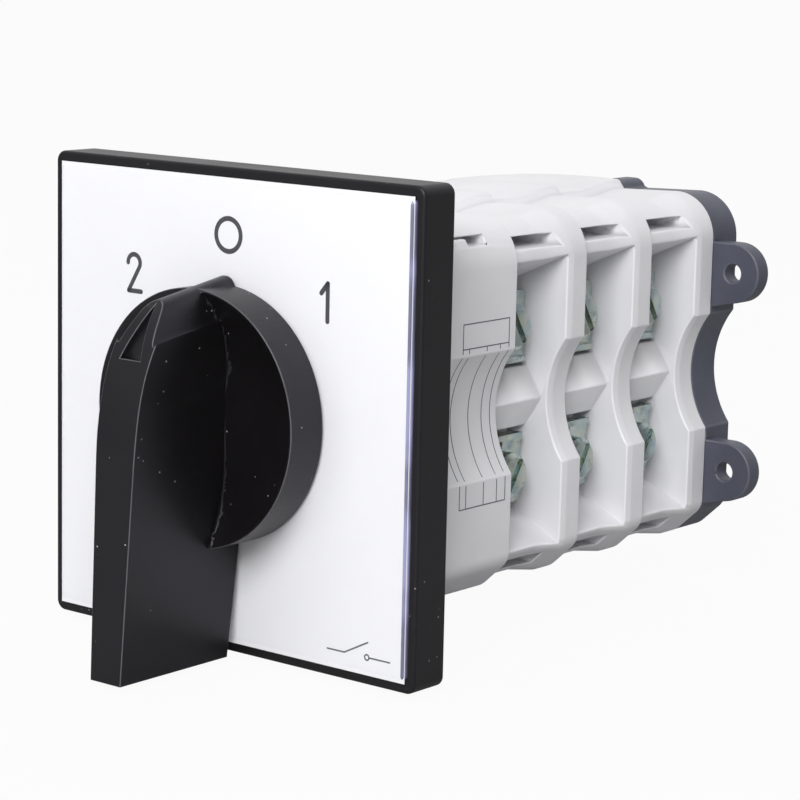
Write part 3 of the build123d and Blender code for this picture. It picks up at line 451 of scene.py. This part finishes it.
def printed(name, strokes, width, lay, colour):
    """Ink on a surface. Each stroke is a thin closed slab: the two rails of the pen's path,
    once a film above the surface and once a film below it, joined all round. lay gives the
    place and the outward direction on the surface for each point of a rail."""
    film = 0.00003
    points, faces = [], []
    for path, closed in strokes:
        left, right = rails(path, width, closed)
        place, outward = lay(np.stack([left, right, right, left]) / 1000)
        height = np.array([film, film, -film, -film])[:, None, None]
        grid = place + outward * height
        here = sum(map(len, points)) + np.arange(grid[..., 0].size).reshape(4, -1)
        around = np.roll(here, -1, 0)
        quads = np.stack([here, around, np.roll(around, -1, 1), np.roll(here, -1, 1)], axis=-1)
        if not closed:
            sides = quads[:, :-1].reshape(-1, 4)
            quads = np.concatenate([sides, here[:, 0][None], here[::-1, -1][None]])
        points.append(grid.reshape(-1, 3))
        faces.append(quads.reshape(-1, 4))
    mesh = bpy.data.meshes.new(name)
    mesh.from_pydata(np.vstack(points).tolist(), [], np.vstack(faces).tolist())
    mesh.materials.append(colour)
    skin = bmesh.new()
    skin.from_mesh(mesh)
    bmesh.ops.recalc_face_normals(skin, faces=skin.faces)
    skin.to_mesh(mesh)
    skin.free()
    piece = shown(name, mesh)
    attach(piece, "housing")


def on_legend(flat):
    """Lays points of the drawing, x and z, on the legend's face."""
    place = np.insert(flat, 1, legend_front, axis=-1)
    return place, np.array([0.0, -1.0, 0.0])


def ink(name, colour):
    """Printing ink: an uneven film, a little thinner here and there."""
    mix = Finish(name, Specular_IOR_Level=0.3)
    film = mix.noise(0.0009, 3.0)
    darker, lighter = ([c * share for c in colour] for share in (0.85, 1.15))
    return mix.set(
        Base_Color=mix.blend(film, darker, lighter),
        Roughness=0.45 + film * 0.15,
        Normal=mix.bump(film, 0.1, 0.00002),
    )


black_ink = ink("black_ink", (0.03, 0.03, 0.033))
grey_ink = ink("grey_ink", (0.12, 0.12, 0.13))

# The marks are drawn in millimetres, x and z on the sheet. Each is a list of strokes, with
# whether the stroke closes on itself.
nought = [(arc((0, 32.7), 3.0, 0, 352.5, 48), True)]
one = [([(23.9, 19.45), (23.88, 26.2)], False), ([(22.4, 24.4), (23.88, 26.2)], False)]
two = [
    (np.vstack([arc((-23.8, 25.4), 1.56, 182, -24, 22), [(-25.2, 20.08)]]), False),
    ([(-25.2, 20.08), (-21.95, 20.08)], False),
]
printed("mark_0", nought, 0.92, on_legend, black_ink)
printed("mark_1", one, 0.92, on_legend, black_ink)
printed("mark_2", two, 0.88, on_legend, black_ink)
switch_symbol = [
    ([(25.2, -39.8), (29.2, -39.8), (34.6, -37.05)], False),
    (arc((34.45, -39.8), 0.5, 0, 345, 24), True),
    ([(35.05, -39.8), (39.7, -39.8)], False),
]
printed("mark_switch", switch_symbol, 0.3, on_legend, grey_ink)


# -------------------------------------------------------------- clear cover
# Clear plastic plate over the legend, cut with a polished bevel along its four edges.
# The flat face is almost unseen; the bevels carry a painted reflection, pale blue-white, and
# darker lavender with dark streaks on the right bevel.

def clear_plastic():
    """Clear cover: all but unseen on the flat; on the bevels a painted reflection, pale
    blue-white, and on the right bevel darker lavender streaked with dark."""
    mix = Finish("clear_plastic", IOR=1.49)
    x, _, z = mix.axes()
    half_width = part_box("front_cover")[1].x
    bevel = 0.0007
    bevel_line = half_width - bevel * 1.02, half_width - bevel * 0.98
    # The right bevel alone is painted darker lavender and more opaque: a painted reflection.
    right_edge = x.between(*bevel_line)
    edge = x.math("ABSOLUTE").math("MAXIMUM", z.math("ABSOLUTE")).between(*bevel_line)
    scuffs = mix.noise(0.004, 4.0)
    # Dark streaks of painted reflection on the right bevel.
    streaks = mix.noise(0.016, 2.0).between(0.42, 0.58)
    painted_bevel_reflection = mix.blend(right_edge, (0.72, 0.76, 0.92), (0.33, 0.33, 0.54))
    bevel_reflection_with_painted_streaks = mix.blend(streaks * right_edge * 0.7, painted_bevel_reflection, (0.09, 0.09, 0.15))
    return mix.set(
        Base_Color=mix.blend(edge, (0.95, 0.96, 1.0), bevel_reflection_with_painted_streaks),
        Alpha=0.05 + edge * 0.3 + right_edge * 0.55,
        Roughness=0.04 + scuffs * 0.08,
        Normal=mix.bump(scuffs, 0.05, 0.00002),
    )


dress(clear_plastic(), "front_cover")


# ----------------------------------------------------- front block and stages
# Pale grey thermoset mouldings stacked on the shaft: the front block with the
# detent, then three stages with funnel-shaped terminal pockets.

def pale_moulding(name, edge=0.0):
    """Pale grey plastic: soft clouds, satin skin, handling marks, and an edge share that paints a
    paler highlight.
    """
    mix = Finish(name, Specular_IOR_Level=0.5)
    clouds = mix.noise(0.02, 3.0)
    skin = mix.noise(0.0005, 3.0)
    smudge = mix.noise(0.006, 5.0).between(0.55, 0.8)
    base = mix.blend(clouds.between(0.3, 0.7), (0.74, 0.737, 0.765), (0.785, 0.782, 0.81))
    marked = mix.blend(smudge * 0.12, base, (0.55, 0.53, 0.52))
    return mix.set(
        Base_Color=mix.blend(edge, marked, (0.84, 0.84, 0.86)),
        Roughness=0.4 + skin * 0.12 + smudge * 0.1,
        Normal=mix.bump(skin * 0.6 + clouds * 0.4, 0.2, 0.00005),
    )


housing_grey = pale_moulding("housing_grey")
# The edge material, on the bevelled edges, is paler: a painted highlight.
housing_edge_painted_highlight = pale_moulding("housing_edge_painted_highlight", edge=0.45)
for node in ("front_block", "stage_1", "stage_2", "stage_3"):
    moulding = merged(node, f"{node}_moulding", 0.00028)
    stand_in(moulding, node, "housing", "housing_grey", housing_grey, housing_edge_painted_highlight)


def on_block_side(flat):
    """Lays points of the drawing, y and z, on the front block's right side: flat above and
    below, and between them a scoop, an arc whose radius follows from its chord and depth."""
    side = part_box("front_block")[1].x
    half_chord, depth = 0.0118, 0.0041
    radius = (half_chord ** 2 + depth ** 2) / (2 * depth)
    z = flat[..., 1]
    inside = np.abs(z) < half_chord
    rise = np.sqrt(radius ** 2 - np.where(inside, z, 0) ** 2)
    x = side - np.where(inside, rise - radius + depth, 0)
    place = np.stack([x, flat[..., 0], z], axis=-1)
    slope = np.where(inside, z / rise, 0)
    outward = np.stack([np.ones_like(z), np.zeros_like(z), slope], axis=-1)
    return place, outward / np.linalg.norm(outward, axis=-1, keepdims=True)


def upright_line(column, heights):
    """An open stroke down the label, with points enough to follow the scoop."""
    return np.column_stack([np.full(len(heights), column), heights]), False


# The label's lines in millimetres, y along the block and z up.
label_front, label_back = -91.4, -77.6
label_low, label_head, label_top = -16.5, 13.2, 17.8
down_side = np.linspace(label_top, label_low, 40)
below_head = np.linspace(label_head, label_low, 36)
rows = label_top, label_head, label_low
ruled = [
    *(upright_line(column, down_side) for column in (label_front, label_back)),
    *(upright_line(column, below_head) for column in (-89.5, -84.2, -80.2)),
    *(([(label_front, row), (label_back, row)], False) for row in rows),
]
printed("label_lines", ruled, 0.2, on_block_side, grey_ink)


# --------------------------------------------------------------- rear plate
# Slate blue-grey moulding behind the stages, with four fixing ears. It closes the last
# stage, and screws through its ears hold the switch to a base.

def slate_moulding(name, edge=0.0):
    """Slate plastic: soft clouds, satin skin, and an edge share that paints a greyer highlight in
    clouds.
    """
    mix = Finish(name, Specular_IOR_Level=0.5)
    clouds = mix.noise(0.012, 3.0)
    skin = mix.noise(0.0006, 3.0)
    base = mix.blend(clouds.between(0.3, 0.7), (0.064, 0.069, 0.096), (0.079, 0.085, 0.118))
    return mix.set(
        Base_Color=mix.blend(clouds * edge, base, (0.2, 0.2, 0.23)),
        Roughness=0.38 + skin * 0.2,
        Normal=mix.bump(skin * 0.6 + clouds * 0.4, 0.3, 0.00005),
    )


back_plate = merged("rear_plate", "back_plate", 0.0003)
# The edge material, on the bevelled edges, is greyer in clouds: a painted highlight.
slate, slate_edge_painted_highlight = slate_moulding("slate"), slate_moulding("slate_edge_painted_highlight", edge=0.6)
stand_in(back_plate, "rear_plate", "housing", "rear_slate", slate, slate_edge_painted_highlight)


# --------------------------------------------------------- terminals and screws
# Steel clamp plates, washers and slotted screws, zinc plated: bright, a little blue
# and green, with a yellowish bloom.

def zinc_plate():
    """Zinc plating: bloom between blue and yellow-green, darker stains, fine grit."""
    mix = Finish("zinc_plate", Metallic=1.0)
    bloom = mix.noise(0.003, 3.0)
    grit = mix.noise(0.0003, 2.0)
    stain = mix.noise(0.0022, 3.0).between(0.5, 0.72)
    plating = mix.blend(bloom.between(0.35, 0.65), (0.4, 0.49, 0.51), (0.53, 0.57, 0.5))
    return mix.set(
        Base_Color=mix.blend(stain * 0.45, plating, (0.2, 0.24, 0.235)),
        Roughness=0.15 + bloom * 0.1 + grit * 0.06 + stain * 0.08,
        Normal=mix.bump(grit, 0.15, 0.00002),
    )


zinc = zinc_plate()
for number in (1, 2, 3):
    dress(zinc, f"clamp_plates_{number}", f"terminal_screws_{number}")
dress(zinc, "frame_screws", "tie_bolts", "shaft")


# ------------------------------------------------------------- inner pieces
# Seals in black rubber, brass contacts, spring steel leaves, off-white cams,
# plungers and detent parts: seen only through gaps and with the knob off.

def rubber():
    """Black seal rubber, matt and grainy."""
    mix = Finish("seal_rubber")
    grain = mix.noise(0.0004, 3.0)
    return mix.set(
        Base_Color=mix.blend(grain, (0.018, 0.018, 0.018), (0.032, 0.031, 0.03)),
        Roughness=0.65 + grain * 0.2,
        Normal=mix.bump(grain, 0.4, 0.00005),
    )


def brass():
    """Contact brass with light tarnish."""
    mix = Finish("contact_brass", Metallic=1.0)
    tarnish = mix.noise(0.002, 4.0)
    return mix.set(
        Base_Color=mix.blend(tarnish, (0.62, 0.44, 0.18), (0.45, 0.3, 0.13)),
        Roughness=0.25 + tarnish * 0.25,
        Normal=mix.bump(tarnish, 0.15, 0.00002),
    )


def spring_steel():
    """Bare spring steel, mottled grey."""
    mix = Finish("spring_steel", Metallic=1.0)
    streaks = mix.noise(0.0008, 4.0)
    return mix.set(
        Base_Color=mix.blend(streaks, (0.42, 0.43, 0.45), (0.3, 0.3, 0.32)),
        Roughness=0.28 + streaks * 0.2,
        Normal=mix.bump(streaks, 0.15, 0.00002),
    )


def inner_moulding():
    """Off-white inner plastic, faintly clouded."""
    mix = Finish("inner_moulding")
    clouds = mix.noise(0.008, 3.0)
    skin = mix.noise(0.0005, 2.0)
    return mix.set(
        Base_Color=mix.blend(clouds, (0.52, 0.5, 0.45), (0.6, 0.58, 0.53)),
        Roughness=0.4 + skin * 0.2,
        Normal=mix.bump(skin, 0.2, 0.00004),
    )


dress(rubber(), "panel_gasket", "shaft_seal")
contact_brass, steel, cream = brass(), spring_steel(), inner_moulding()
dress(steel, "handle_clip", "stop_disc", "detent_spring_top", "detent_spring_bottom")
dress(contact_brass, "tie_inserts")
dress(cream, "detent_wheel", "detent_cover", "detent_plunger_top", "detent_plunger_bottom")
for number in (1, 2, 3):
    dress(cream, f"cam_{number}", f"plunger_{number}_top", f"plunger_{number}_bottom")
    dress(contact_brass, f"fixed_contacts_{number}", f"bridge_{number}_top")
    dress(contact_brass, f"bridge_{number}_bottom")
    dress(steel, f"return_spring_{number}_top", f"return_spring_{number}_bottom")
